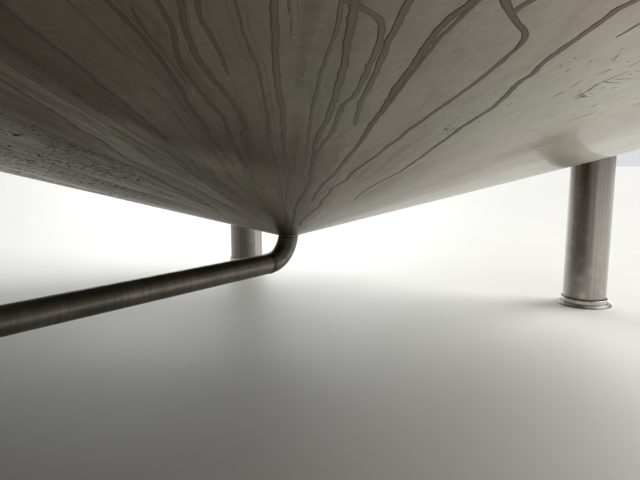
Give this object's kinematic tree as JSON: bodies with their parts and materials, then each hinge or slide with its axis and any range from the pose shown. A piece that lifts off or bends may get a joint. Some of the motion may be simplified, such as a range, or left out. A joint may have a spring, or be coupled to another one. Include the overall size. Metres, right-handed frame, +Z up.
{
  "type": "vertical storage tank",
  "caption": "Upright round stainless steel storage tank on tubular legs, with a shallow cone bottom, a centre outlet and level pipe, a front door and a cone roof with a hatch.",
  "frame": {"origin": "on the floor, on the tank's upright axis", "axes": "+Z up along the axis, -Y to the front, where the outlet pipe runs and the door is, +X to the right seen from the front"},
  "size_m": [4.115, 4.1621, 7.7716],
  "materials": {
    "sheet_steel": "cold rolled 2B stainless sheet, semi-gloss, with dried water runs",
    "tube_steel": "stainless tube, ground lengthwise, dull",
    "dark_pipe": "stainless outlet pipe, tarnished dark, with faint cross brushing",
    "bright_fitting": "bright ground stainless fittings",
    "foot_seal": "floor sealant and flange round the foot, dull, stained",
    "black_grip": "black moulded grip",
    "dial": "white dial under a clear cover"
  },
  "bodies": {
    "root": {"bottom_cone": "sheet_steel", "breather": "bright_fitting", "door": "bright_fitting", "door_arm": "bright_fitting", "door_frame": "bright_fitting", "door_handwheel": "black_grip", "door_hinge": "bright_fitting", "door_latch": "bright_fitting", "foot_1": "foot_seal", "foot_2": "foot_seal", "foot_3": "foot_seal", "foot_4": "foot_seal", "foot_5": "foot_seal", "foot_collar_1": "tube_steel", "foot_collar_2": "tube_steel", "foot_collar_3": "tube_steel", "foot_collar_4": "tube_steel", "foot_collar_5": "tube_steel", "hatch_clamp": "bright_fitting", "hatch_hinge": "bright_fitting", "hatch_lid": "bright_fitting", "hatch_neck": "bright_fitting", "leg_1": "tube_steel", "leg_2": "tube_steel", "leg_3": "tube_steel", "leg_4": "tube_steel", "leg_5": "tube_steel", "leg_pad_1": "sheet_steel", "leg_pad_2": "sheet_steel", "leg_pad_3": "sheet_steel", "leg_pad_4": "sheet_steel", "leg_pad_5": "sheet_steel", "lifting_lug_1": "tube_steel", "lifting_lug_2": "tube_steel", "lifting_lug_3": "tube_steel", "lifting_lug_4": "tube_steel", "outlet_cap": "bright_fitting", "outlet_elbow": "dark_pipe", "outlet_pipe": "dark_pipe", "outlet_valve": "bright_fitting", "outlet_valve_lever": "bright_fitting", "pipe_hanger": "tube_steel", "roof_cone": "sheet_steel", "sample_tap": "bright_fitting", "shell_1_back": "sheet_steel", "shell_1_front": "sheet_steel", "shell_2_back": "sheet_steel", "shell_2_front": "sheet_steel", "shell_3_back": "sheet_steel", "shell_3_front": "sheet_steel", "shell_4_back": "sheet_steel", "shell_4_front": "sheet_steel", "thermometer": "dial"}
  },
  "joints": []
}
